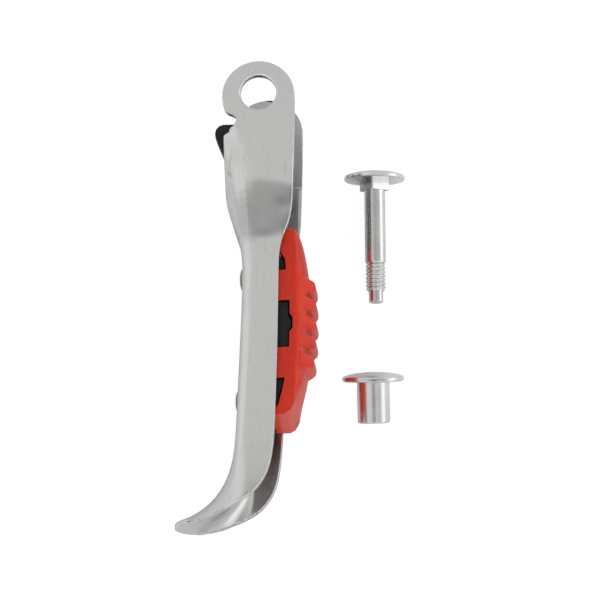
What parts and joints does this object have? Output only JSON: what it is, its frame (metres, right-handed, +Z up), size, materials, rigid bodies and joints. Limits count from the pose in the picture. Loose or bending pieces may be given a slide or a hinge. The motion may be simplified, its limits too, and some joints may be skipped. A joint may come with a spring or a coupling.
{
  "type": "corkscrew lever arm with pivot fastener",
  "caption": "Bent steel channel lever with two pivot eyes, a sprung red thumb slide working a black latch hook, and a loose pivot screw with sleeve nut.",
  "frame": {"origin": "bottom centre of the whole set's bounding box, on the surface it lies on", "axes": "+Z up from the surface it lies on, +Y along the lever from its bent tip to its pivot eyes, +X from the lever's closed front to the loose pivot screw"},
  "size_m": [0.0546, 0.1118, 0.0295],
  "materials": {
    "lever_steel": "tumble polished",
    "latch_black": "fine moulded",
    "slide_red": "satin moulded",
    "rivet_steel": "tumbled",
    "washer_steel": "stamped",
    "spring_steel": "drawn wire",
    "bright_steel": "turned and plated"
  },
  "bodies": {
    "lever": {"lever_channel": "lever_steel", "upper_rivet": "rivet_steel", "lower_rivet": "rivet_steel", "upper_washer": "washer_steel", "lower_washer": "washer_steel", "return_spring": "spring_steel"},
    "latch": {"latch_slider": "latch_black", "thumb_slide": "slide_red"},
    "screw": {"pivot_screw": "bright_steel"},
    "nut": {"sleeve_nut": "bright_steel"}
  },
  "joints": [
    {"name": "latch_travel", "type": "slide", "parent": "lever", "child": "latch", "axis": [0, -0.9995, -0.032], "range_m": [0, 0.005], "stiffness_N_per_m": 300, "springref_m": -0.006, "deforming": ["return_spring"]},
    {"name": "screw_lift", "type": "slide", "parent": "lever", "child": "screw", "axis": [0, 0, 1], "range_m": [0, 0.05]},
    {"name": "nut_lift", "type": "slide", "parent": "lever", "child": "nut", "axis": [0, 0, 1], "range_m": [0, 0.05]}
  ]
}
